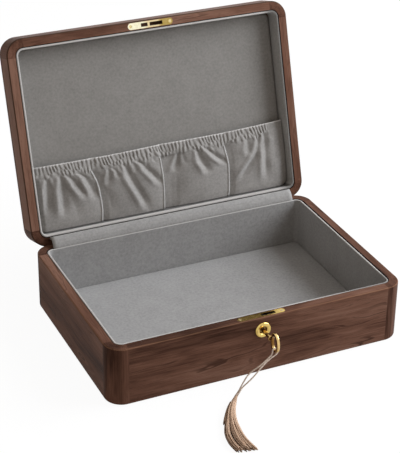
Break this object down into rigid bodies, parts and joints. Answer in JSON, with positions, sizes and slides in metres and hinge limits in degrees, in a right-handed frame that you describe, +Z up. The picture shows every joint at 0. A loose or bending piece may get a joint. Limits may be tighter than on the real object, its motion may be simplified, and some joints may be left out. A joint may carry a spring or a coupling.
{
  "type": "storage box",
  "caption": "Low walnut storage box with rounded corners, hinged lid with gathered cloth pockets, grey lining, and a brass lock whose key carries a tassel.",
  "frame": {"origin": "centre of the underside of the base, on the table", "axes": "+X to the right seen from the front, +Y towards the hinges at the back, +Z up"},
  "size_m": [0.3, 0.3944, 0.2547],
  "materials": {
    "walnut_rail": "satin, grain along the rail",
    "walnut_post": "satin, grain upright",
    "walnut_top": "satin, grain along the width",
    "plywood_bottom": "matt",
    "lining_wall": "brushed, matt",
    "lining_floor": "brushed, matt",
    "lining_panel": "brushed, matt",
    "pocket_fabric": "brushed, matt, gathered",
    "strip_fabric": "brushed, matt",
    "hinge_brass": "polished",
    "screw_brass": "polished",
    "plate_brass": "polished",
    "ring_brass": "polished",
    "key_brass": "polished",
    "lock_steel": "plain",
    "string_cotton": "twisted cotton",
    "tassel_thread": "silky thread"
  },
  "bodies": {
    "base": {"base_front_rail": "walnut_rail", "base_back_rail": "walnut_rail", "base_left_rail": "walnut_rail", "base_right_rail": "walnut_rail", "base_corner_front_left": "walnut_post", "base_corner_front_right": "walnut_post", "base_corner_back_left": "walnut_post", "base_corner_back_right": "walnut_post", "base_bottom_panel": "plywood_bottom", "base_liner_wall": "lining_wall", "base_floor_pad": "lining_floor", "hinge_cover_strip": "strip_fabric", "hinge_left_base_leaf": "hinge_brass", "hinge_right_base_leaf": "hinge_brass", "hinge_left_pin": "hinge_brass", "hinge_right_pin": "hinge_brass", "hinge_base_screws": "screw_brass", "lock_plate_screws": "screw_brass", "lock_face_plate": "plate_brass", "escutcheon": "ring_brass", "lock_case": "lock_steel"},
    "lid": {"lid_front_rail": "walnut_rail", "lid_back_rail": "walnut_rail", "lid_left_rail": "walnut_rail", "lid_right_rail": "walnut_rail", "lid_corner_front_left": "walnut_post", "lid_corner_front_right": "walnut_post", "lid_corner_back_left": "walnut_post", "lid_corner_back_right": "walnut_post", "lid_top_panel": "walnut_top", "lid_liner_wall": "lining_wall", "lid_inner_panel": "lining_panel", "pocket_cloth": "pocket_fabric", "pocket_seam_tapes": "pocket_fabric", "hinge_left_lid_leaf": "hinge_brass", "hinge_right_lid_leaf": "hinge_brass", "hinge_lid_screws": "screw_brass", "strike_screws": "screw_brass", "strike_plate": "plate_brass"},
    "lock_plug": {"lock_plug": "lock_steel", "lock_hook": "lock_steel"},
    "key": {"key": "key_brass"},
    "tassel": {"tassel_string": "string_cotton", "tassel_neck": "tassel_thread", "tassel_skirt": "tassel_thread"}
  },
  "joints": [
    {"name": "lid_hinge", "type": "hinge", "parent": "base", "child": "lid", "pos_m": [0, 0.1014, 0.0596], "axis": [1, 0, 0], "range_deg": [0, 107], "deforming": ["hinge_cover_strip"]},
    {"name": "key_turn", "type": "hinge", "parent": "base", "child": "lock_plug", "pos_m": [0, -0.0983, 0.0462], "axis": [0, -1, 0], "range_deg": [0, 90]},
    {"name": "key_pull", "type": "slide", "parent": "lock_plug", "child": "key", "axis": [0, -1, 0], "range_m": [0, 0.026]},
    {"name": "tassel_swing", "type": "hinge", "parent": "key", "child": "tassel", "pos_m": [0, -0.12775, 0.0378], "axis": [0, -1, 0], "range_deg": [-90, 0]}
  ],
  "couplings": [
    {"joint": "tassel_swing", "follows": "key_turn", "ratio": -1}
  ]
}
